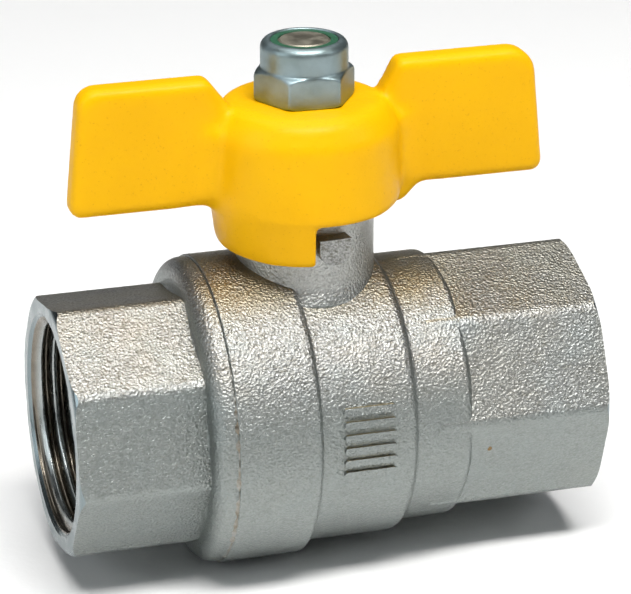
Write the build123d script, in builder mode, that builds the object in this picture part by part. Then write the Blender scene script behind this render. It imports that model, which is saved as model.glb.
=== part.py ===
from build123d import *
from math import cos, radians, sin
import os

# Full-bore ball valve, G1 female threads at both ends, butterfly handle. Millimetres.
# The origin is the centre of the ball. X runs along the pipe, from the end cap at -X to
# the body's outlet at +X. Z runs up the stem. The handle lies along the pipe: open.

# Pipe thread G1, drawn as a plain bore at its major radius
THREAD_RADIUS = 16.624
MOUTH_RADIUS = 17.15
MOUTH_DEPTH = 0.5
THREAD_DEPTH = 18.0

# Lengths along the pipe
INLET_FACE = -40.2
OUTLET_FACE = 42.7
OUTLET_ROOT = 15.0
SEAM = -16.9
NOSE_END = -9.6

# Ball, waterway and seats
WATERWAY_RADIUS = 12.5
BALL_RADIUS = 18.0
CAVITY_RADIUS = 19.3
SEAT_OUTER = 16.8
SEAT_INNER = 12.9
SEAT_BACK = 14.5
SEAT_FRONT = 9.9
SEAT_GAP = 0.05
JOINT_RADIUS = 20.6
NOSE_GAP = 0.4
SEAT_RELIEF = 0.5

# Outside of the forgings
RING_1_RADIUS = 23.8
RING_1_END = -4.3
RING_1_STEP = 0.55
RING_2_RADIUS = 22.2
RING_2_END = 10.8
RING_2_STEP = 0.8
RING_3_RADIUS = 20.8
RING_3_END = 20.0
RING_3_STEP = 1.3
RING_3_DROP = 2.0
COLLAR_RADIUS = 23.5
COLLAR_START = -20.3
COLLAR_ROOT = 18.6
ROOT_OVERLAP = 1.5
FLAT_COUNT = 8
INLET_FLATS = 37.7
INLET_TURN = 11.5
OUTLET_FLATS = 39.0
OUTLET_TURN = -3.0
FACE_ROUND = 1.4
CORNER_ROUND = 2.2

# Neck and stop lug
NECK_RADIUS = 10.5
NECK_TOP = 36.5
NECK_FOOT = 12.0
NECK_FLARE = 11.5
FLARE_BOTTOM = 19.3
FLARE_TOP = 21.8
LUG_ANGLE = -85.2
LUG_WIDTH = 5.0
LUG_BOTTOM = 26.2
LUG_TOP = 30.2
LUG_REACH = 12.8
LUG_ROUND = 2.2

# Raised mark on the front of the second ring
MARK_X = 3.7
MARK_Z = 1.1
MARK_LENGTH = 8.2
MARK_LINE = 1.1
MARK_PITCH = 2.0
MARK_BARS = 6
MARK_RELIEF = 0.5

# Stem
STEM_RADIUS = 5.0
STEM_BORE = 5.05
STEM_FLATS = 8.2
STEM_THREAD = 4.0
STEM_TOP = 57.7
STEM_CHAMFER = 0.4
SHOULDER_Z = 37.0
FLATS_TOP = 48.0
FLANGE_RADIUS = 7.2
FLANGE_BORE = 7.5
FLANGE_BOTTOM = 18.4
FLANGE_TOP = 20.4
WASHER_TOP = 21.5
TANG_THICKNESS = 5.0
TANG_WIDTH = 12.0
TANG_BOTTOM = 14.9
SLOT_WIDTH = 5.3
SLOT_BOTTOM = 14.6
RING_SECTION = 0.73
RING_GROOVE_RADIUS = 3.55
RING_GROOVE_WIDTH = 2.0
RING_LEVELS = {"stem_ring_lower": 26.0, "stem_ring_upper": 31.0}

# Handle
HUB_TOP = 48.6
HUB_TOP_RADIUS = 12.3
HUB_SHOULDER = 4.0
HUB_WAIST_RADIUS = 14.2
HUB_RIM_RADIUS = 14.6
HUB_RIM_Z = 32.7
SKIRT_INNER = 11.6
SKIRT_RADIUS = 13.6
SKIRT_BOTTOM = 26.2
STOP_GAP = 14.0
TRAVEL = 90.0
WING_TIPS = {-1: 36.7, 1: 37.7}
WING_LEAN = 1.9
WING_BOTTOMS = {-1: 33.4, 1: 33.8}
WING_TOPS = {-1: 53.1, 1: 53.7}
WING_SHOULDERS = {-1: 15.3, 1: 14.4}
WING_THICKNESS = 5.0
WING_EDGE = 1.5
WING_CORNERS = {-1: 3.2, 1: 4.2}
WING_ROOT = 9.0
WING_ROOT_TOP = 47.6
WING_ROOT_SLOPE = 2.0
NOOK_ROUND = 1.6
TIP_ROUND = 1.7
GUSSET_ROUNDS = [1.8, 2.4]
WEB_RADIUS = 6.5
WEB_BOTTOM = 34.9
GUSSET_BOTTOM = 30.7
GUSSET_REACHES = {-1: 13.0, 1: 15.3}
GUSSET_SLOPE = 2.4

# Lock nut
NUT_FLATS = 13.5
NUT_TURN = -3.0
NUT_SHOULDER = 53.4
NUT_CHAMFER_ACROSS = 0.6
NUT_CHAMFER_UP = 0.35
COLLAR_WALL = 6.6
NUT_TOP = 57.8
RIM_RADIUS = 5.1
INSERT_RADIUS = 6.0
INSERT_BOTTOM = 54.2
INSERT_STEP = 57.0
INSERT_TOP = 57.6
LAND_GAP = 0.05

# Rounding radii along the turned outlines, corner by corner
RING_ROUNDS = [0, 0.25, 0.9, 0.5, 1.2, 0.7, 0.9, 0, 0]
NECK_ROUNDS = [0, 0, 0, 3.0, 0.6, 0]
CAP_ROUNDS = [0, 0, 1.0, 2.7, 0.25, 0, 0.4, 0]
HUB_ROUNDS = [0, 1.0, 0, 0.8, 4.0, 3.2, 0]
SKIRT_ROUNDS = [0.4, 0.8, 0, 0]
NUT_ROUNDS = [0, 0, 0.6, 1.15, 0, 1.3, 0.15, 0, 0, 0, 0]

os.makedirs("parts", exist_ok=True)


def revolved(points, axis, radii=0):
    """Solid of revolution of a closed outline of (along, across) points in the XZ plane."""
    if isinstance(radii, (int, float)):
        radii = [radii] * len(points)
    with BuildPart() as turned:
        with BuildSketch(Plane.XZ):
            with BuildLine():
                FilletPolyline(points, radius=radii, close=True)
            make_face()
        revolve(axis=axis)
    return turned.part


def pipe_bore(face, inward, bore_end):
    """Space inside a threaded end: mouth chamfer, thread bore, cone and waterway."""
    cone_end = THREAD_DEPTH + THREAD_RADIUS - WATERWAY_RADIUS
    outline = [
        (face - inward, 0),
        (face - inward, MOUTH_RADIUS),
        (face, MOUTH_RADIUS),
        (face + inward * MOUTH_DEPTH, THREAD_RADIUS),
        (face + inward * THREAD_DEPTH, THREAD_RADIUS),
        (face + inward * cone_end, WATERWAY_RADIUS),
        (bore_end, WATERWAY_RADIUS),
        (bore_end, 0),
    ]
    return revolved(outline, Axis.X)


def octagon_end(face, root, flats, turn):
    """Octagonal pipe end from root to face, its corners rounded off at the face."""
    corner = flats / 2 / cos(radians(180 / FLAT_COUNT))
    with BuildPart() as end:
        with BuildSketch(Plane.YZ.offset(min(face, root))):
            RegularPolygon(corner, FLAT_COUNT, rotation=90 + turn)
        extrude(amount=abs(face - root))
        fillet(end.edges().filter_by(Axis.X), radius=CORNER_ROUND)
        turning = revolved(
            [(face, 0), (face, corner), (root, corner), (root, 0)], Axis.X, [0, FACE_ROUND, 0, 0]
        )
        add(turning, mode=Mode.INTERSECT)
    return end.part


# Body: rings, octagonal outlet, neck, stop lug and mark, then the spaces inside
body_rings = revolved(
    [
        (SEAM, 0),
        (SEAM, RING_1_RADIUS),
        (RING_1_END, RING_1_RADIUS),
        (RING_1_END + RING_1_STEP, RING_2_RADIUS),
        (RING_2_END, RING_2_RADIUS),
        (RING_2_END + RING_2_STEP, RING_3_RADIUS),
        (RING_3_END, RING_3_RADIUS),
        (RING_3_END + RING_3_STEP, RING_3_RADIUS - RING_3_DROP),
        (RING_3_END + RING_3_STEP, 0),
    ],
    Axis.X,
    RING_ROUNDS,
)
outlet_end = octagon_end(OUTLET_FACE, OUTLET_ROOT, OUTLET_FLATS, OUTLET_TURN)
outlet_bore = pipe_bore(OUTLET_FACE, -1, SEAT_BACK - 1)
neck = revolved(
    [
        (0, NECK_FOOT),
        (NECK_FLARE, NECK_FOOT),
        (NECK_FLARE, FLARE_BOTTOM),
        (NECK_RADIUS, FLARE_TOP),
        (NECK_RADIUS, NECK_TOP),
        (0, NECK_TOP),
    ],
    Axis.Z,
    NECK_ROUNDS,
)
body_cavity = revolved(
    [
        (SEAM, 0),
        (SEAM, JOINT_RADIUS),
        (NOSE_END + NOSE_GAP, JOINT_RADIUS),
        (NOSE_END + NOSE_GAP, CAVITY_RADIUS),
        (SEAT_FRONT - SEAT_RELIEF, CAVITY_RADIUS),
        (SEAT_FRONT - SEAT_RELIEF, SEAT_OUTER),
        (SEAT_BACK, SEAT_OUTER),
        (SEAT_BACK, 0),
    ],
    Axis.X,
)
lug_direction = (cos(radians(LUG_ANGLE)), sin(radians(LUG_ANGLE)), 0)
lug_plane = Plane(
    origin=(0, 0, (LUG_BOTTOM + LUG_TOP) / 2),
    x_dir=(-lug_direction[1], lug_direction[0], 0),
    z_dir=lug_direction,
)

with BuildPart() as body:
    add(body_rings)
    add(outlet_end)
    add(neck)
    with BuildSketch(lug_plane) as lug:
        Rectangle(LUG_WIDTH, LUG_TOP - LUG_BOTTOM)
        fillet(lug.vertices().group_by(Axis.Y)[0], radius=LUG_ROUND)
    extrude(amount=LUG_REACH)
    add(body_cavity, mode=Mode.SUBTRACT)
    add(outlet_bore, mode=Mode.SUBTRACT)
    with BuildSketch(Plane.XY.offset(WATERWAY_RADIUS)):
        Circle(FLANGE_BORE)
    extrude(amount=WASHER_TOP - WATERWAY_RADIUS, mode=Mode.SUBTRACT)
    with BuildSketch(Plane.XY.offset(WASHER_TOP)):
        Circle(STEM_BORE)
    extrude(amount=NECK_TOP - WASHER_TOP, mode=Mode.SUBTRACT)

# The raised mark: a stack of bars along the pipe, standing off the ring's surface
with BuildPart() as mark:
    with BuildSketch(Plane.XZ.offset(RING_2_RADIUS - 3)):
        with Locations((MARK_X, MARK_Z)):
            with GridLocations(0, MARK_PITCH, 1, MARK_BARS):
                SlotOverall(MARK_LENGTH, MARK_LINE)
    extrude(amount=5)
    with BuildSketch(Plane.YZ.offset(MARK_X - MARK_LENGTH)):
        Circle(RING_2_RADIUS + MARK_RELIEF)
        Circle(RING_2_RADIUS - MARK_RELIEF, mode=Mode.SUBTRACT)
    extrude(amount=2 * MARK_LENGTH, mode=Mode.INTERSECT)

with BuildPart() as marked_body:
    add(body.part)
    add(mark.part)
marked_body.part.label = "body"
export_step(marked_body.part, "parts/body.step")

# End cap: octagonal inlet, round collar, and a nose that screws into the body
cap_turning = revolved(
    [
        (COLLAR_START - ROOT_OVERLAP, 0),
        (COLLAR_START - ROOT_OVERLAP, COLLAR_ROOT),
        (COLLAR_START, COLLAR_ROOT),
        (COLLAR_START, COLLAR_RADIUS),
        (SEAM, COLLAR_RADIUS),
        (SEAM, JOINT_RADIUS),
        (NOSE_END, JOINT_RADIUS),
        (NOSE_END, 0),
    ],
    Axis.X,
    CAP_ROUNDS,
)
inlet_end = octagon_end(INLET_FACE, COLLAR_START + ROOT_OVERLAP / 3, INLET_FLATS, INLET_TURN)
inlet_bore = pipe_bore(INLET_FACE, 1, -SEAT_BACK + 1)
with BuildPart() as end_cap:
    add(cap_turning)
    add(inlet_end)
    add(inlet_bore, mode=Mode.SUBTRACT)
    with BuildSketch(Plane.YZ.offset(-SEAT_BACK)):
        Circle(SEAT_OUTER)
    extrude(amount=SEAT_BACK, mode=Mode.SUBTRACT)
end_cap.part.label = "end_cap"
export_step(end_cap.part, "parts/end_cap.step")

# Ball: sphere with the waterway along X and the stem's slot across the top along Y
with BuildPart() as ball:
    Sphere(BALL_RADIUS)
    with BuildSketch(Plane.YZ.offset(-BALL_RADIUS)):
        Circle(WATERWAY_RADIUS)
    extrude(amount=2 * BALL_RADIUS, mode=Mode.SUBTRACT)
    with BuildSketch(Plane.XY.offset(SLOT_BOTTOM)):
        Rectangle(SLOT_WIDTH, 2 * BALL_RADIUS)
    extrude(amount=BALL_RADIUS, mode=Mode.SUBTRACT)
ball.part.label = "ball"
export_step(ball.part, "parts/ball.step")

# Seats: rings with a hollow face that follows the ball, one each side
with BuildPart() as seat_inlet:
    with BuildSketch(Plane.XZ):
        with BuildLine():
            Polyline(
                (-SEAT_BACK, SEAT_INNER),
                (-SEAT_BACK, SEAT_OUTER),
                (-SEAT_FRONT, SEAT_OUTER),
                (-SEAT_FRONT, SEAT_INNER),
                close=True,
            )
        make_face()
    revolve(axis=Axis.X)
    Sphere(BALL_RADIUS + SEAT_GAP, mode=Mode.SUBTRACT)
seat_inlet.part.label = "seat_inlet"
export_step(seat_inlet.part, "parts/seat_inlet.step")

with BuildPart() as seat_outlet:
    mirror(seat_inlet.part, about=Plane.YZ)
seat_outlet.part.label = "seat_outlet"
export_step(seat_outlet.part, "parts/seat_outlet.step")

# Stem: tang in the ball's slot, flange, ring grooves, two flats and the threaded end
groove_points = []
for level in RING_LEVELS.values():
    low = level - RING_GROOVE_WIDTH / 2
    high = level + RING_GROOVE_WIDTH / 2
    groove_points += [(STEM_RADIUS, low), (RING_GROOVE_RADIUS, low)]
    groove_points += [(RING_GROOVE_RADIUS, high), (STEM_RADIUS, high)]
stem_turning = revolved(
    [
        (0, FLANGE_BOTTOM),
        (FLANGE_RADIUS, FLANGE_BOTTOM),
        (FLANGE_RADIUS, FLANGE_TOP),
        (STEM_RADIUS, FLANGE_TOP),
        *groove_points,
        (STEM_RADIUS, FLATS_TOP),
        (STEM_THREAD, FLATS_TOP),
        (STEM_THREAD, STEM_TOP - STEM_CHAMFER),
        (STEM_THREAD - STEM_CHAMFER, STEM_TOP),
        (0, STEM_TOP),
    ],
    Axis.Z,
)
with BuildPart() as stem:
    add(stem_turning)
    with BuildSketch(Plane.XY.offset(SHOULDER_Z)):
        Circle(2 * STEM_RADIUS)
        Rectangle(4 * STEM_RADIUS, STEM_FLATS, mode=Mode.SUBTRACT)
    extrude(amount=FLATS_TOP - SHOULDER_Z, mode=Mode.SUBTRACT)
    with BuildSketch(Plane.XY.offset(TANG_BOTTOM)):
        Rectangle(TANG_THICKNESS, TANG_WIDTH)
    extrude(amount=FLANGE_BOTTOM - TANG_BOTTOM)
stem.part.label = "stem"
export_step(stem.part, "parts/stem.step")

with BuildPart() as thrust_washer:
    with BuildSketch(Plane.XY.offset(FLANGE_TOP)):
        Circle(FLANGE_RADIUS)
        Circle(STEM_BORE, mode=Mode.SUBTRACT)
    extrude(amount=WASHER_TOP - FLANGE_TOP)
thrust_washer.part.label = "thrust_washer"
export_step(thrust_washer.part, "parts/thrust_washer.step")

for ring_name, level in RING_LEVELS.items():
    with BuildPart() as stem_ring:
        with BuildSketch(Plane.XZ):
            with Locations((RING_GROOVE_RADIUS + RING_SECTION, level)):
                Circle(RING_SECTION)
        revolve(axis=Axis.Z)
    stem_ring.part.label = ring_name
    export_step(stem_ring.part, f"parts/{ring_name}.step")

# Handle: hub over the neck, skirt with the stop notch, and two wings
hub = revolved(
    [
        (0, SHOULDER_Z),
        (SKIRT_INNER, SHOULDER_Z),
        (SKIRT_INNER, HUB_RIM_Z),
        (HUB_RIM_RADIUS, HUB_RIM_Z),
        (HUB_WAIST_RADIUS, HUB_TOP - HUB_SHOULDER),
        (HUB_TOP_RADIUS, HUB_TOP),
        (0, HUB_TOP),
    ],
    Axis.Z,
    HUB_ROUNDS,
)
skirt_start = LUG_ANGLE + STOP_GAP + TRAVEL
skirt_end = 360 + LUG_ANGLE - STOP_GAP
with BuildPart() as skirt:
    with BuildSketch(Plane.XZ.rotated((0, 0, skirt_start))):
        with BuildLine():
            FilletPolyline(
                (SKIRT_INNER, SKIRT_BOTTOM),
                (SKIRT_RADIUS, SKIRT_BOTTOM),
                (HUB_RIM_RADIUS - 0.1, HUB_RIM_Z + 1),
                (SKIRT_INNER, HUB_RIM_Z + 1),
                radius=SKIRT_ROUNDS,
                close=True,
            )
        make_face()
    revolve(axis=Axis.Z, revolution_arc=skirt_end - skirt_start)


def wing(side):
    """One flat wing, rounded all round, from inside the hub to the tip, with its gusset below."""
    corner = WING_CORNERS[side]
    tip = WING_TIPS[side]
    bottom = WING_BOTTOMS[side]
    top = WING_TOPS[side]
    gusset = GUSSET_REACHES[side]
    outline = [
        (side * WING_ROOT, GUSSET_BOTTOM),
        (side * gusset, GUSSET_BOTTOM),
        (side * (gusset + GUSSET_SLOPE), bottom),
        (side * tip, bottom),
        (side * (tip - WING_LEAN), top),
        (side * WING_SHOULDERS[side], top),
        (side * (WING_ROOT + WING_ROOT_SLOPE), WING_ROOT_TOP),
        (side * WING_ROOT, WING_ROOT_TOP),
    ]
    rounds = [0, *GUSSET_ROUNDS, TIP_ROUND, corner, NOOK_ROUND, 0, 0]
    with BuildPart() as blade:
        with BuildSketch(Plane.XZ):
            with BuildLine():
                FilletPolyline(outline, radius=rounds, close=True)
            make_face()
        extrude(amount=WING_THICKNESS / 2, both=True)
        fillet(blade.faces().filter_by(Axis.Y).edges(), radius=WING_EDGE)
    return blade.part


with BuildPart() as web:
    with BuildSketch(Plane.XY.offset(WEB_BOTTOM)) as web_plan:
        Rectangle(2 * (HUB_WAIST_RADIUS + WEB_RADIUS), WING_THICKNESS)
        Circle(HUB_WAIST_RADIUS - 0.6)
        fillet(web_plan.vertices().filter_by(lambda v: abs(v.X) < HUB_WAIST_RADIUS), radius=WEB_RADIUS)
    extrude(amount=HUB_TOP - 3 - WEB_BOTTOM)

with BuildPart() as handle:
    add(hub)
    add(skirt.part)
    add(wing(-1))
    add(wing(1))
    add(web.part)
    with BuildSketch(Plane.XY.offset(SKIRT_BOTTOM)):
        Circle(SKIRT_INNER)
    extrude(amount=SHOULDER_Z - SKIRT_BOTTOM, mode=Mode.SUBTRACT)
    with BuildSketch(Plane.XY.offset(SHOULDER_Z)):
        Circle(STEM_BORE)
        Rectangle(4 * STEM_RADIUS, STEM_FLATS + 0.1, mode=Mode.INTERSECT)
    extrude(amount=HUB_TOP - SHOULDER_Z, mode=Mode.SUBTRACT)
handle.part.label = "handle"
export_step(handle.part, "parts/handle.step")

# Lock nut: hexagon with a rounded shoulder, a crimped collar and a pocket for the insert
nut_corner = NUT_FLATS / 2 / cos(radians(30))
nut_turning = revolved(
    [
        (STEM_THREAD, HUB_TOP),
        (nut_corner - NUT_CHAMFER_ACROSS, HUB_TOP),
        (nut_corner, HUB_TOP + NUT_CHAMFER_UP),
        (nut_corner, NUT_SHOULDER),
        (COLLAR_WALL, NUT_SHOULDER),
        (COLLAR_WALL, NUT_TOP),
        (RIM_RADIUS, NUT_TOP),
        (RIM_RADIUS, INSERT_STEP),
        (INSERT_RADIUS, INSERT_STEP),
        (INSERT_RADIUS, INSERT_BOTTOM),
        (STEM_THREAD, INSERT_BOTTOM),
    ],
    Axis.Z,
    NUT_ROUNDS,
)
with BuildPart() as lock_nut:
    add(nut_turning)
    with BuildSketch(Plane.XY.offset(HUB_TOP)):
        RegularPolygon(nut_corner, 6, rotation=NUT_TURN)
    extrude(amount=NUT_TOP - HUB_TOP, mode=Mode.INTERSECT)
lock_nut.part.label = "lock_nut"
export_step(lock_nut.part, "parts/lock_nut.step")

# Insert: a nylon ring under the nut's lip, with a land that fills the lip's opening
with BuildPart() as nut_insert:
    with BuildSketch(Plane.XY.offset(INSERT_BOTTOM)):
        Circle(INSERT_RADIUS)
    extrude(amount=INSERT_STEP - INSERT_BOTTOM)
    with BuildSketch(Plane.XY.offset(INSERT_STEP)):
        Circle(RIM_RADIUS - LAND_GAP)
    extrude(amount=INSERT_TOP - INSERT_STEP)
    with BuildSketch(Plane.XY.offset(INSERT_BOTTOM)):
        Circle(STEM_THREAD)
    extrude(amount=INSERT_TOP - INSERT_BOTTOM, mode=Mode.SUBTRACT)
nut_insert.part.label = "nut_insert"
export_step(nut_insert.part, "parts/nut_insert.step")
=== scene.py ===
import math

import bmesh
import bpy
from mathutils import Matrix, Vector, noise


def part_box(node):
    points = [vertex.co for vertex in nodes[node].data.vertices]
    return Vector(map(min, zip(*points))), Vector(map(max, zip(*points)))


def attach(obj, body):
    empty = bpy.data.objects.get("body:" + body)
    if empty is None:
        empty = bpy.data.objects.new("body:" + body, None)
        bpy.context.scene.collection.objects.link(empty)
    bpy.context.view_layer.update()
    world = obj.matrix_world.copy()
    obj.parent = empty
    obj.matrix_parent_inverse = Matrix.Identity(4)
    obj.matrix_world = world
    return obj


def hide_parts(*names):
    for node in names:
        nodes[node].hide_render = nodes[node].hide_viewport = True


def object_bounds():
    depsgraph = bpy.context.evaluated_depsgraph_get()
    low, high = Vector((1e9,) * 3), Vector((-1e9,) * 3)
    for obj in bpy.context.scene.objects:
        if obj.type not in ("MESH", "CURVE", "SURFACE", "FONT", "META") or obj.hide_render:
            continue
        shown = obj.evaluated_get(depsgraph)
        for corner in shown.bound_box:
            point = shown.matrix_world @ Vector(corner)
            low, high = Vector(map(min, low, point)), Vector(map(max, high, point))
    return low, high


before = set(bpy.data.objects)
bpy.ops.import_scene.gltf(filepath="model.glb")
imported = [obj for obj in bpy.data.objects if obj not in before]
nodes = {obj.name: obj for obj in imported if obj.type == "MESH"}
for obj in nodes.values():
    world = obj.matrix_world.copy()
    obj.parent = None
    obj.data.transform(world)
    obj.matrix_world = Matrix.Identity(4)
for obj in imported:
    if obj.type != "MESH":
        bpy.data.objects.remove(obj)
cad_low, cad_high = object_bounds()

MM = 0.001
MICRON = 0.000001


def outward(azimuth, elevation):
    """Unit vector from the valve; azimuth 0 is in front of it and negative is to the left."""
    return Vector((
        math.sin(azimuth) * math.cos(elevation),
        -math.cos(azimuth) * math.cos(elevation),
        math.sin(elevation),
    ))


# ---------------------------------------------------------------- camera
# The camera stands left of the front, above the valve, and looks a little past its middle.
CAMERA_AZIMUTH = math.radians(-16.73)
CAMERA_ELEVATION = math.radians(21.56)
CAMERA_DISTANCE = 498.6 * MM
CAMERA_ASIDE = 1.65 * MM
CAMERA_RAISED = 15.25 * MM
CAMERA_ROLL = math.radians(-0.05)
CAMERA_LENS = 183.4
SENSOR_WIDTH = 36.0
CLIP_START = 0.01
CLIP_END = 20


def camera_axes():
    """Right, up and back of the camera, before its small roll."""
    back = outward(CAMERA_AZIMUTH, CAMERA_ELEVATION)
    right = Vector((math.cos(CAMERA_AZIMUTH), math.sin(CAMERA_AZIMUTH), 0))
    return right, back.cross(right), back


def make_camera():
    right, up, back = camera_axes()
    place = right * CAMERA_ASIDE + up * CAMERA_RAISED + back * CAMERA_DISTANCE
    turned_right = right * math.cos(CAMERA_ROLL) + up * math.sin(CAMERA_ROLL)
    turned_up = up * math.cos(CAMERA_ROLL) - right * math.sin(CAMERA_ROLL)
    turn = Matrix((turned_right, turned_up, back)).transposed().to_4x4()
    data = bpy.data.cameras.new("camera")
    data.lens = CAMERA_LENS
    data.sensor_width = SENSOR_WIDTH
    data.clip_start = CLIP_START
    data.clip_end = CLIP_END
    camera = bpy.data.objects.new("camera", data)
    camera.matrix_world = Matrix.Translation(place) @ turn
    bpy.context.scene.collection.objects.link(camera)
    bpy.context.scene.camera = camera


make_camera()


# ---------------------------------------------------------------- light and floor
WORLD_COLOUR = (0.30, 0.31, 0.32, 1)
WORLD_STRENGTH = 0.20
FLOOR_SIZE = 3.0


def softbox(name, azimuth, elevation, distance, width, height, power, tint=(1, 1, 1)):
    """An area light aimed at the valve, placed by angles in degrees and sized in metres."""
    back = outward(math.radians(azimuth), math.radians(elevation))
    light = bpy.data.lights.new(name, "AREA")
    light.shape = "RECTANGLE"
    light.size = width
    light.size_y = height
    light.energy = power
    light.color = tint
    lamp = bpy.data.objects.new(name, light)
    lamp.location = back * distance
    lamp.rotation_euler = back.to_track_quat("Z", "Y").to_euler()
    bpy.context.scene.collection.objects.link(lamp)


def make_light():
    softbox(
        "key", azimuth=0, elevation=65, distance=0.80, width=0.55, height=0.17,
        power=7.6, tint=(1, 0.99, 0.97),
    )
    softbox(
        "left", azimuth=-78, elevation=22, distance=0.8, width=0.45, height=0.45,
        power=1.6, tint=(0.90, 0.96, 1),
    )
    softbox(
        "right", azimuth=58, elevation=30, distance=0.9, width=0.26, height=0.36,
        power=1.0, tint=(0.94, 0.97, 1),
    )
    softbox(
        "ceiling", azimuth=180, elevation=84, distance=1.5, width=1.5, height=1.5, power=11.5,
    )
    world = bpy.data.worlds.new("studio")
    world.use_nodes = True
    background = world.node_tree.nodes["Background"]
    background.inputs["Color"].default_value = WORLD_COLOUR
    background.inputs["Strength"].default_value = WORLD_STRENGTH
    bpy.context.scene.world = world


def make_floor(material):
    """A wide square at the valve's lowest point."""
    corners = [
        (x * FLOOR_SIZE, y * FLOOR_SIZE, cad_low.z)
        for x, y in ((-1, -1), (1, -1), (1, 1), (-1, 1))
    ]
    mesh = bpy.data.meshes.new("floor")
    mesh.from_pydata(corners, [], [(0, 1, 2, 3)])
    mesh.materials.append(material)
    floor = bpy.data.objects.new("floor", mesh)
    bpy.context.scene.collection.objects.link(floor)


# ---------------------------------------------------------------- material helpers
# Sockets of a Mix node in its colour mode, which share their names with other sockets.
MIX_FIRST = 6
MIX_SECOND = 7
MIX_RESULT = 2
# The part of a noise's range that most of its values fall in.
NOISE_LOW = 0.3
NOISE_HIGH = 0.7


class Shader:
    """A material under construction: its nodes and short ways to add more of them.

    Scales of textures are per metre, and depths of bumps are in metres.
    """

    def __init__(self, name, **sockets):
        self.material = bpy.data.materials.new(name)
        self.material.use_nodes = True
        self.tree = self.material.node_tree
        self.principled = self.tree.nodes["Principled BSDF"]
        for socket, value in sockets.items():
            self.principled.inputs[socket.replace("_", " ")].default_value = value

    def add(self, kind, **settings):
        node = self.tree.nodes.new(kind)
        for key, value in settings.items():
            setattr(node, key, value)
        return node

    def link(self, source, target):
        self.tree.links.new(source, target)

    def place(self):
        return self.add("ShaderNodeTexCoord").outputs["Object"]

    def place_axes(self):
        """The X, Y and Z of the point, in metres."""
        split = self.add("ShaderNodeSeparateXYZ")
        self.link(self.place(), split.inputs[0])
        return split.outputs

    def normal_axes(self):
        """The X, Y and Z of the surface's direction."""
        split = self.add("ShaderNodeSeparateXYZ")
        self.link(self.add("ShaderNodeTexCoord").outputs["Normal"], split.inputs[0])
        return split.outputs

    def noise(self, scale, detail=3.0, roughness=0.5, stretch=None):
        node = self.add("ShaderNodeTexNoise")
        node.inputs["Scale"].default_value = scale
        node.inputs["Detail"].default_value = detail
        node.inputs["Roughness"].default_value = roughness
        source = self.place()
        if stretch:
            mapping = self.add("ShaderNodeMapping")
            mapping.inputs["Scale"].default_value = stretch
            self.link(source, mapping.inputs["Vector"])
            source = mapping.outputs["Vector"]
        self.link(source, node.inputs["Vector"])
        return node.outputs["Fac"]

    def cells(self, scale, smooth):
        node = self.add("ShaderNodeTexVoronoi", feature="SMOOTH_F1")
        node.inputs["Scale"].default_value = scale
        node.inputs["Smoothness"].default_value = smooth
        self.link(self.place(), node.inputs["Vector"])
        return node.outputs["Distance"]

    def maths(self, operation, *values):
        """A Math node fed with numbers and outputs."""
        node = self.add("ShaderNodeMath", operation=operation)
        for socket, value in zip(node.inputs, values):
            if isinstance(value, (int, float)):
                socket.default_value = value
            else:
                self.link(value, socket)
        return node.outputs[0]

    def distance(self, first, second):
        """The length of two offsets at a right angle to each other."""
        first_square = self.maths("MULTIPLY", first, first)
        second_square = self.maths("MULTIPLY", second, second)
        return self.maths("SQRT", self.maths("ADD", first_square, second_square))

    def spread(self, source, low, high, to_low, to_high):
        """Maps low..high of the source to to_low..to_high, smoothly and clamped."""
        node = self.add("ShaderNodeMapRange", interpolation_type="SMOOTHSTEP")
        self.link(source, node.inputs["Value"])
        node.inputs["From Min"].default_value = low
        node.inputs["From Max"].default_value = high
        node.inputs["To Min"].default_value = to_low
        node.inputs["To Max"].default_value = to_high
        return node.outputs["Result"]

    def mix(self, amount, first, second):
        """Blends two colours, or colour outputs, by the amount."""
        node = self.add("ShaderNodeMix", data_type="RGBA")
        self.link(amount, node.inputs["Factor"])
        for socket, value in ((node.inputs[MIX_FIRST], first), (node.inputs[MIX_SECOND], second)):
            if isinstance(value, tuple):
                socket.default_value = (*value, 1)
            else:
                self.link(value, socket)
        return node.outputs[MIX_RESULT]

    def tint(self, tone, mask, strength, colour):
        """Blends a colour over the tone where the mask is, up to a strength."""
        return self.mix(self.maths("MULTIPLY", mask, strength), tone, colour)

    def colour(self, source):
        self.link(source, self.principled.inputs["Base Color"])

    def rough(self, source):
        self.link(source, self.principled.inputs["Roughness"])

    def rough_between(self, source, low, high):
        """Roughness that follows a noise between two values."""
        self.rough(self.spread(source, NOISE_LOW, NOISE_HIGH, low, high))

    def bump(self, *heights):
        """Stacks bumps given as (height source, depth) pairs onto the shader's normal."""
        normal = None
        for height, depth in heights:
            node = self.add("ShaderNodeBump")
            node.inputs["Distance"].default_value = depth
            self.link(height, node.inputs["Height"])
            if normal is not None:
                self.link(normal, node.inputs["Normal"])
            normal = node.outputs["Normal"]
        self.link(normal, self.principled.inputs["Normal"])


# ---------------------------------------------------------------- masks on the forging
# Each pair is where a mask begins and ends.
TURNED_RIM = (1.1 * MM, 1.5 * MM)
TURNED_BORE = (17.2 * MM, 17.4 * MM)
RIM_FACING = (0.25, 0.40)

# Painted light: the up-facing faces, mostly near the neck, get a warm and slightly darker brown.
TOP_BROWN_FACING = (0.76, 0.985)
TOP_BROWN_REACH = (12 * MM, 26 * MM)
TOP_BROWN_FAR_SHARE = 0.35
# Painted shade: the sides and lower half, below the neck, get a cooler, darker tone.
LOWER_FACING = (0.62, 0.15)
LOWER_HEIGHT = (18.5 * MM, 22.5 * MM)

NECK_REACH = (11.7 * MM, 12.2 * MM)
NECK_FACING = (0.2, 0.5)
NECK_HEIGHT = (19.5 * MM, 21.5 * MM)

STAIN_X = 23.6 * MM
STAIN_Z = -3.8 * MM
STAIN_RADIUS = 0.52 * MM
STAIN_EDGE = 1.3 * STAIN_RADIUS
STAIN_FRONT = (-1 * MM, 0)


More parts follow.
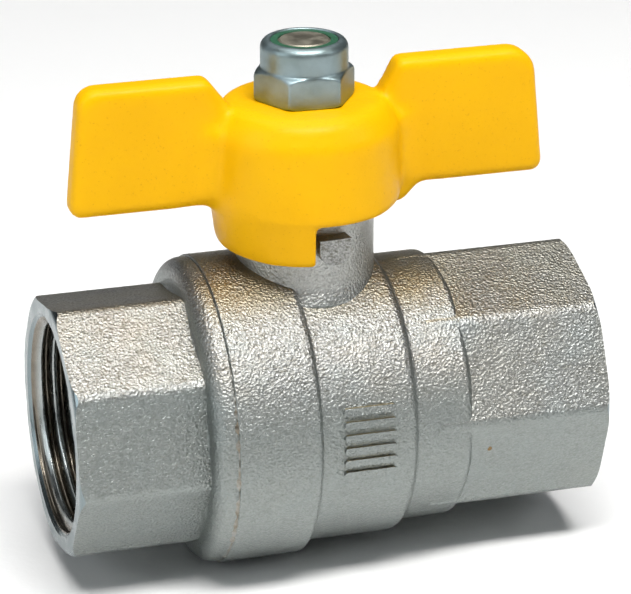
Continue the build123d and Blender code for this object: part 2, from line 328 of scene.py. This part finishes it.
def turned_metal(shader, face_x):
    """Where the forging is turned: on its end face at face_x and inside its bore."""
    place = shader.place_axes()
    from_face = shader.maths("ABSOLUTE", shader.maths("SUBTRACT", place["X"], face_x))
    end_facing = shader.maths("ABSOLUTE", shader.normal_axes()["X"])
    near_face = shader.spread(from_face, *TURNED_RIM, 1, 0)
    facing = shader.spread(end_facing, *RIM_FACING, 0, 1)
    inside = shader.spread(shader.distance(place["Y"], place["Z"]), *TURNED_BORE, 1, 0)
    return shader.maths("MAXIMUM", shader.maths("MULTIPLY", near_face, facing), inside)


def painted_light_on_top(shader):
    """Painted light on the forging's upper side: the up-facing faces, strongest near the neck."""
    from_middle = shader.maths("ABSOLUTE", shader.place_axes()["X"])
    facing_up = shader.spread(shader.normal_axes()["Z"], *TOP_BROWN_FACING, 0, 1)
    near_neck = shader.spread(from_middle, *TOP_BROWN_REACH, 1, TOP_BROWN_FAR_SHARE)
    return shader.maths("MULTIPLY", facing_up, near_neck)


def painted_lower_shade(shader):
    """Painted shade on the forging's sides and lower half, below the neck."""
    facing_down = shader.spread(shader.normal_axes()["Z"], *LOWER_FACING, 0, 1)
    below_neck = shader.spread(shader.place_axes()["Z"], *LOWER_HEIGHT, 1, 0)
    return shader.maths("MULTIPLY", facing_down, below_neck)


def neck_wall(shader):
    """The upright wall of the neck, between the handle and the pipe."""
    place = shader.place_axes()
    near_stem = shader.spread(shader.distance(place["X"], place["Y"]), *NECK_REACH, 1, 0)
    upright = shader.spread(shader.normal_axes()["Z"], *NECK_FACING, 1, 0)
    high = shader.spread(place["Z"], *NECK_HEIGHT, 0, 1)
    return shader.maths("MULTIPLY", near_stem, shader.maths("MULTIPLY", upright, high))


def small_stain(shader):
    """The one brown stain low on the front of the outlet end, with a ragged edge."""
    place = shader.place_axes()
    aside = shader.maths("SUBTRACT", place["X"], STAIN_X)
    above = shader.maths("SUBTRACT", place["Z"], STAIN_Z)
    ragged = shader.maths("MULTIPLY", shader.noise(1400, detail=2), STAIN_RADIUS)
    reach = shader.maths("ADD", shader.distance(aside, above), ragged)
    within = shader.spread(reach, STAIN_RADIUS, STAIN_EDGE, 1, 0)
    return shader.maths("MULTIPLY", within, shader.spread(place["Y"], *STAIN_FRONT, 1, 0))


# ---------------------------------------------------------------- colours
NICKEL_DARK = (0.235, 0.235, 0.220)
NICKEL_LIGHT = (0.405, 0.408, 0.395)
NICKEL_FLECK = (0.50, 0.50, 0.49)
NICKEL_PIT = (0.15, 0.145, 0.12)
NICKEL_COOL = (0.34, 0.375, 0.375)
NICKEL_WARM = (0.37, 0.33, 0.27)
# Painted shade: the cooler, darker tone of the sides and lower half.
NICKEL_PAINTED_SHADE = (0.250, 0.278, 0.268)
NICKEL_NECK = (0.56, 0.565, 0.54)
NICKEL_TURNED = (0.21, 0.25, 0.26)
# Painted light: the warm, slightly darker brown of the up-facing faces.
PAINTED_TOP_BROWN = (0.34, 0.29, 0.185)
BROWN_STAIN = (0.20, 0.115, 0.035)
THREAD_BRIGHT = (0.34, 0.365, 0.36)
THREAD_ROOT_DARK = (0.12, 0.105, 0.085)
THREAD_ROOT_LIGHT = (0.24, 0.215, 0.175)
SEAM_BROWN = (0.20, 0.175, 0.135)
SEAM_GREY = (0.33, 0.33, 0.31)
YELLOW_DEEP = (0.75, 0.388, 0.0008)
YELLOW_BRIGHT = (0.79, 0.420, 0.0008)
YELLOW_SPECK = (0.52, 0.235, 0.002)
ZINC_DARK = (0.225, 0.285, 0.285)
ZINC_LIGHT = (0.315, 0.40, 0.43)
NYLON_DARK = (0.012, 0.060, 0.030)
NYLON_LIGHT = (0.030, 0.12, 0.065)
BRASS_DARK = (0.26, 0.24, 0.19)
BRASS_LIGHT = (0.38, 0.355, 0.29)
CHROME_DARK = (0.70, 0.71, 0.73)
CHROME_LIGHT = (0.80, 0.81, 0.82)
PTFE_DARK = (0.78, 0.78, 0.74)
PTFE_LIGHT = (0.88, 0.88, 0.86)
RUBBER_DARK = (0.012, 0.012, 0.013)
RUBBER_LIGHT = (0.035, 0.035, 0.036)
FLOOR_DARK = (0.90, 0.90, 0.90)
FLOOR_LIGHT = (0.92, 0.92, 0.92)


# ---------------------------------------------------------------- materials
def nickel_tone(shader, grain, patches):
    """The forging's colour: fine grain, pits and flecks, patches, painted light on the top,
    painted shade on the sides and lower half, and the one stain.
    """
    flecks = shader.noise(2600, detail=3, stretch=(0.5, 1, 1))
    broad = shader.noise(55, detail=3)
    tone = shader.mix(shader.spread(grain, 0.34, 0.66, 0, 1), NICKEL_DARK, NICKEL_LIGHT)
    tone = shader.mix(shader.spread(flecks, 0.60, 0.76, 0, 0.4), tone, NICKEL_FLECK)
    tone = shader.mix(shader.spread(flecks, 0.46, 0.34, 0, 0.75), tone, NICKEL_PIT)
    tone = shader.mix(shader.spread(patches, 0.45, 0.68, 0, 0.35), tone, NICKEL_COOL)
    tone = shader.mix(shader.spread(broad, 0.50, 0.68, 0, 0.30), tone, NICKEL_WARM)
    # Painted light: the up-facing faces turn a warm, slightly darker brown in patches.
    top_brown_patches = shader.spread(patches, 0.30, 0.62, 0.25, 1)
    tone = shader.mix(shader.maths("MULTIPLY", painted_light_on_top(shader), top_brown_patches), tone, PAINTED_TOP_BROWN)
    # Painted shade: a cooler, darker tone over the sides and lower half.
    tone = shader.tint(tone, painted_lower_shade(shader), 0.75, NICKEL_PAINTED_SHADE)
    tone = shader.tint(tone, neck_wall(shader), 0.6, NICKEL_NECK)
    return shader.tint(tone, small_stain(shader), 0.9, BROWN_STAIN)


def blasted_nickel(name, face_x):
    """Shot-blasted, nickel-plated forging with turned metal at its threaded end and inside."""
    shader = Shader(name, Metallic=1.0)
    turned = turned_metal(shader, face_x)
    cast = shader.maths("SUBTRACT", 1.0, turned)
    grain = shader.noise(3400, detail=3, roughness=0.60, stretch=(0.75, 1, 1))
    pits = shader.cells(2300, smooth=0.2)
    patches = shader.noise(170, detail=4)
    rings = shader.noise(1.0, detail=2, stretch=(9000, 260, 260))
    shader.colour(shader.mix(turned, nickel_tone(shader, grain, patches), NICKEL_TURNED))

    cast_rough = shader.spread(grain, 0.25, 0.75, 0.43, 0.31)
    turned_rough = shader.spread(rings, NOISE_LOW, NOISE_HIGH, 0.22, 0.36)
    blended = shader.maths("MULTIPLY", cast_rough, cast)
    shader.rough(shader.maths("MULTIPLY_ADD", turned_rough, turned, blended))
    shader.bump(
        (shader.maths("MULTIPLY", grain, cast), 160 * MICRON),
        (shader.maths("MULTIPLY", pits, cast), 120 * MICRON),
        (shader.maths("MULTIPLY", patches, cast), 140 * MICRON),
        (shader.maths("MULTIPLY", rings, turned), 15 * MICRON),
    )
    return shader.material


def thread_metal(name):
    """Cut thread: bright plated crests, turning darker and browner in clouds towards the roots."""
    shader = Shader(name, Metallic=1.0)
    place = shader.place_axes()
    radius = shader.distance(place["Y"], place["Z"])
    depth = shader.spread(radius, 15.3 * MM, 16.4 * MM, 0, 1)
    clouds = shader.noise(420, detail=3)
    root = shader.mix(clouds, THREAD_ROOT_DARK, THREAD_ROOT_LIGHT)
    shader.colour(shader.mix(depth, THREAD_BRIGHT, root))
    chatter = shader.noise(1.0, detail=2, stretch=(5200, 420, 420))
    shader.rough_between(chatter, 0.20, 0.36)
    shader.bump((chatter, 12 * MICRON), (clouds, 20 * MICRON))
    return shader.material


def seam_film():
    """Plating and brown film that lie in the seam between the body and the end cap."""
    shader = Shader("seam_film", Metallic=1.0)
    clouds = shader.noise(900, detail=4)
    shader.colour(shader.mix(shader.spread(clouds, 0.35, 0.65, 0, 1), SEAM_BROWN, SEAM_GREY))
    shader.rough_between(clouds, 0.38, 0.50)
    shader.bump((clouds, 80 * MICRON))
    return shader.material


def yellow_paint():
    """Powder coat over a zinc casting: slight peel, fine speckle and warmer patches."""
    shader = Shader(
        "yellow_paint", Coat_Weight=0.02, Coat_Roughness=0.25, Specular_IOR_Level=0.10,
    )
    speckle = shader.noise(2600, detail=2)
    peel = shader.noise(420, detail=3, roughness=0.45)
    broad = shader.noise(45, detail=2)
    tone = shader.mix(shader.spread(broad, 0.35, 0.65, 0, 1), YELLOW_DEEP, YELLOW_BRIGHT)
    shader.colour(shader.mix(shader.spread(speckle, 0.62, 0.78, 0, 0.45), tone, YELLOW_SPECK))
    shader.rough_between(peel, 0.36, 0.48)
    shader.bump((peel, 90 * MICRON), (speckle, 20 * MICRON))
    return shader.material


def zinc_plate():
    """Dull zinc plating with faint upright brushing and clouds."""
    shader = Shader("zinc_plate", Metallic=1.0)
    brushed = shader.noise(1.0, detail=3, stretch=(700, 700, 4200))
    clouds = shader.noise(260, detail=4)
    shader.colour(shader.mix(shader.spread(clouds, 0.30, 0.75, 0, 1), ZINC_DARK, ZINC_LIGHT))
    shader.rough_between(clouds, 0.40, 0.54)
    shader.bump((brushed, 12 * MICRON), (clouds, 20 * MICRON))
    return shader.material


def green_nylon():
    shader = Shader("green_nylon", Subsurface_Weight=0.05)
    grain = shader.noise(1800, detail=2)
    shader.colour(shader.mix(grain, NYLON_DARK, NYLON_LIGHT))
    shader.rough_between(grain, 0.35, 0.55)
    shader.bump((grain, 30 * MICRON))
    return shader.material


def dull_brass():
    """Stem brass: turned rings on the end, dulled and darkened in patches."""
    shader = Shader("dull_brass", Metallic=1.0)
    rings = shader.add("ShaderNodeTexWave", wave_type="RINGS", rings_direction="Z")
    rings.inputs["Scale"].default_value = 900
    rings.inputs["Distortion"].default_value = 1.5
    shader.link(shader.place(), rings.inputs["Vector"])
    clouds = shader.noise(420, detail=4)
    shader.colour(shader.mix(shader.spread(clouds, 0.35, 0.65, 0, 1), BRASS_DARK, BRASS_LIGHT))
    shader.rough_between(clouds, 0.46, 0.62)
    shader.bump((rings.outputs["Fac"], 12 * MICRON), (clouds, 20 * MICRON))
    return shader.material


def chrome_ball():
    """Hard chrome with fine scratches from turning against the seats."""
    shader = Shader("hard_chrome", Metallic=1.0)
    scratches = shader.noise(1.0, detail=4, stretch=(200, 3800, 900))
    shader.colour(shader.mix(scratches, CHROME_DARK, CHROME_LIGHT))
    shader.rough_between(scratches, 0.07, 0.17)
    shader.bump((scratches, 4 * MICRON))
    return shader.material


def white_ptfe():
    shader = Shader("white_ptfe", Subsurface_Weight=0.1)
    grain = shader.noise(900, detail=3)
    shader.colour(shader.mix(grain, PTFE_DARK, PTFE_LIGHT))
    shader.rough_between(grain, 0.35, 0.5)
    shader.bump((grain, 20 * MICRON))
    return shader.material


def black_rubber():
    shader = Shader("black_rubber")
    grain = shader.noise(2500, detail=2)
    shader.colour(shader.mix(grain, RUBBER_DARK, RUBBER_LIGHT))
    shader.rough_between(grain, 0.45, 0.65)
    shader.bump((grain, 20 * MICRON))
    return shader.material


def pale_floor():
    shader = Shader("pale_floor")
    tooth = shader.noise(900, detail=2)
    shader.colour(shader.mix(shader.noise(4, detail=2), FLOOR_DARK, FLOOR_LIGHT))
    shader.rough_between(tooth, 0.55, 0.7)
    shader.bump((tooth, 40 * MICRON))
    return shader.material


def dress(node_name, material):
    """Gives a CAD node its finished material in every slot."""
    node = nodes[node_name]
    if not node.material_slots:
        node.data.materials.append(material)
    for slot in node.material_slots:
        slot.material = material


# ---------------------------------------------------------------- rings around the pipe
def ring_piece(name, body, spokes, profile_at, material, smooth):
    """A closed ring around the pipe, from the (x, radius) profile at each spoke.

    profile_at takes the spoke's turn, from 0 to 1, and goes once round the ring's section.
    """
    mesh_maker = bmesh.new()
    columns = []
    for spoke in range(spokes):
        turn = spoke / spokes
        y, z = math.cos(2 * math.pi * turn), math.sin(2 * math.pi * turn)
        columns.append([mesh_maker.verts.new((x, r * y, r * z)) for x, r in profile_at(turn)])
    count = len(columns[0])
    for spoke in range(spokes):
        near, far = columns[spoke], columns[(spoke + 1) % spokes]
        for index in range(count):
            following = (index + 1) % count
            mesh_maker.faces.new((near[index], near[following], far[following], far[index]))
    bmesh.ops.recalc_face_normals(mesh_maker, faces=mesh_maker.faces)
    mesh = bpy.data.meshes.new(name)
    mesh_maker.to_mesh(mesh)
    mesh_maker.free()
    for face in mesh.polygons:
        face.use_smooth = smooth
    mesh.materials.append(material)
    piece = bpy.data.objects.new(name, mesh)
    bpy.context.scene.collection.objects.link(piece)
    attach(piece, body)


# ---------------------------------------------------------------- threads
THREAD_CREST = 15.145 * MM
THREAD_ROOT = 16.60 * MM
THREAD_DEPTH = THREAD_ROOT - THREAD_CREST
THREAD_PITCH = 2.309 * MM
THREAD_LENGTH = 17.3 * MM
THREAD_START = 0.5 * MM
LEAD_IN = 1.6 * MM
RUN_OUT = 2.6 * MM
ROOT_WALL = 0.01 * MM
CREST_SHARE = 0.14
FLANK_SHARE = 0.72
FLANK_CURVE = 0.06
THREAD_SPOKES = 144
STEPS_PER_PITCH = 16


def thread_radius(depth, turn):
    """Inner radius of the female thread at a depth from the mouth and a turn from 0 to 1."""
    phase = (depth / THREAD_PITCH + turn) % 1.0
    flank = min(max((abs(2 * phase - 1) - CREST_SHARE) / FLANK_SHARE, 0.0), 1.0)
    flank += FLANK_CURVE * math.sin(2 * math.pi * (flank - 0.5))
    fade = min(1.0, (THREAD_LENGTH - depth) / RUN_OUT)
    radius = THREAD_CREST + THREAD_DEPTH * flank * fade
    mouth = THREAD_ROOT - depth * THREAD_DEPTH / LEAD_IN
    return min(max(radius, mouth), THREAD_ROOT - ROOT_WALL)


def thread_liner(name, body, start, inward, material):
    """The threaded layer inside a pipe end: a closed sleeve with a helical thread inside."""
    step_count = round(THREAD_LENGTH / THREAD_PITCH * STEPS_PER_PITCH)

    def profile_at(turn):
        depths = [THREAD_LENGTH * step / step_count for step in range(step_count + 1)]
        profile = [(start + inward * depth, thread_radius(depth, turn)) for depth in depths]
        return profile + [(start + inward * THREAD_LENGTH, THREAD_ROOT), (start, THREAD_ROOT)]

    ring_piece(name, body, THREAD_SPOKES, profile_at, material, smooth=True)


# ---------------------------------------------------------------- seam
COLLAR_DROP = 0.31 * MM
SEAM_DEPTH = 0.26 * MM
SEAM_ROOT = 0.70 * MM
SEAM_BEFORE = 0.60 * MM
SEAM_AFTER = 0.24 * MM
SEAM_CLEAR = 0.015 * MM
SEAM_SPOKES = 900
SEAM_OPEN_ABOVE = 16.0 * MM
SEAM_SHUT_BELOW = 4.0 * MM
SEAM_MOST_FULL = 0.85
SEAM_RAGGED_SCALE = 620
SEAM_RAGGED_AMOUNT = 0.9


def seam_fullness(y, z):
    """How full the seam is: open on top, ragged on the sides of the pipe and nearly full below."""
    lowness = (SEAM_OPEN_ABOVE - z) / (SEAM_OPEN_ABOVE - SEAM_SHUT_BELOW)
    ragged = noise.noise(Vector((0, y, z)) * SEAM_RAGGED_SCALE)
    return min(1.0, max(0.0, min(lowness, SEAM_MOST_FULL) + SEAM_RAGGED_AMOUNT * ragged))


def seam_filling(name, body, seam_x, ring_radius, material):
    """A thin ring that fills the seam unevenly, slanting from the collar up to the ring."""
    def profile_at(turn):
        angle = 2 * math.pi * turn
        gap = 1 - seam_fullness(ring_radius * math.cos(angle), ring_radius * math.sin(angle))
        inner = ring_radius - SEAM_ROOT
        collar_side = ring_radius - COLLAR_DROP - SEAM_DEPTH * gap
        ring_side = ring_radius - SEAM_CLEAR - (COLLAR_DROP + SEAM_DEPTH) * gap
        before, after = seam_x - SEAM_BEFORE, seam_x + SEAM_AFTER
        return [(before, inner), (after, inner), (after, ring_side), (before, collar_side)]

    ring_piece(name, body, SEAM_SPOKES, profile_at, material, smooth=False)


# ---------------------------------------------------------------- softened pieces
HANDLE_VOXEL = 0.42 * MM
HANDLE_PASSES = 60
ROOT_REACH = 14.5 * MM
ROOT_SPREAD = 6.5 * MM
HUB_BORE = 12.4 * MM
BASE_SOFTNESS = 0.06
NOOK_TOP = 52.0 * MM
NOOK_FADE = 3.0 * MM
NUT_VOXEL = 0.16 * MM
NUT_PASSES = 10
SMOOTH_FACTOR = 0.5


def junction_softness(place):
    """How much the handle softens at a place: most where the wings run into the hub."""
    near_root = max(0.0, 1.0 - abs(abs(place.x) - ROOT_REACH) / ROOT_SPREAD)
    near_root *= min(1.0, max(0.0, (NOOK_TOP - place.z) / NOOK_FADE))
    outside = 1.0 if math.hypot(place.x, place.y) > HUB_BORE else 0.0
    return BASE_SOFTNESS + (1 - BASE_SOFTNESS) * near_root * outside


def even_softness(_place):
    return 1.0


def voxel_skin(node_name, name, voxel):
    """A copy of a CAD node's mesh as one closed skin of small faces."""
    draft = bpy.data.objects.new(name + "_draft", nodes[node_name].data.copy())
    bpy.context.scene.collection.objects.link(draft)
    remesh = draft.modifiers.new("skin", "REMESH")
    remesh.mode = "VOXEL"
    remesh.voxel_size = voxel
    remesh.adaptivity = 0.0
    depsgraph = bpy.context.evaluated_depsgraph_get()
    skin = bpy.data.meshes.new_from_object(draft.evaluated_get(depsgraph))
    bpy.data.objects.remove(draft)
    return skin


def soft_piece(node_name, name, material, voxel, passes, softness):
    """A node as one closed skin with its edges and inner corners softened."""
    skin = voxel_skin(node_name, name, voxel)
    piece = bpy.data.objects.new(name, skin)
    bpy.context.scene.collection.objects.link(piece)
    softened = piece.vertex_groups.new(name="softened")
    for vertex in skin.vertices:
        softened.add([vertex.index], softness(vertex.co), "REPLACE")
    soften = piece.modifiers.new("soften", "SMOOTH")
    soften.factor = SMOOTH_FACTOR
    soften.iterations = passes
    soften.vertex_group = "softened"
    depsgraph = bpy.context.evaluated_depsgraph_get()
    piece.data = bpy.data.meshes.new_from_object(piece.evaluated_get(depsgraph))
    piece.modifiers.clear()
    for face in piece.data.polygons:
        face.use_smooth = True
    piece.data.materials.clear()
    piece.data.materials.append(material)
    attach(piece, "spindle")
    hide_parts(node_name)


# ---------------------------------------------------------------- the valve
inlet_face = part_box("end_cap")[0].x
outlet_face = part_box("body")[1].x

ptfe = white_ptfe()
rubber = black_rubber()
dress("body", blasted_nickel("blasted_nickel_body", outlet_face))
dress("end_cap", blasted_nickel("blasted_nickel_cap", inlet_face))
dress("ball", chrome_ball())
dress("stem", dull_brass())
dress("nut_insert", green_nylon())
for name in ("seat_inlet", "seat_outlet", "thrust_washer"):
    dress(name, ptfe)
for name in ("stem_ring_lower", "stem_ring_upper"):
    dress(name, rubber)

soft_piece(
    "handle", "handle_casting", yellow_paint(),
    HANDLE_VOXEL, HANDLE_PASSES, junction_softness,
)
soft_piece(
    "lock_nut", "plated_nut", zinc_plate(),
    NUT_VOXEL, NUT_PASSES, even_softness,
)
thread_liner(
    "inlet_thread_liner", "housing",
    inlet_face + THREAD_START, 1, thread_metal("cut_thread_inlet"),
)
thread_liner(
    "outlet_thread_liner", "housing",
    outlet_face - THREAD_START, -1, thread_metal("cut_thread_outlet"),
)
seam_filling(
    "seam_filling", "housing",
    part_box("body")[0].x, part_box("body")[1].y, seam_film(),
)

make_light()
make_floor(pale_floor())
bpy.context.scene.view_settings.view_transform = "Standard"
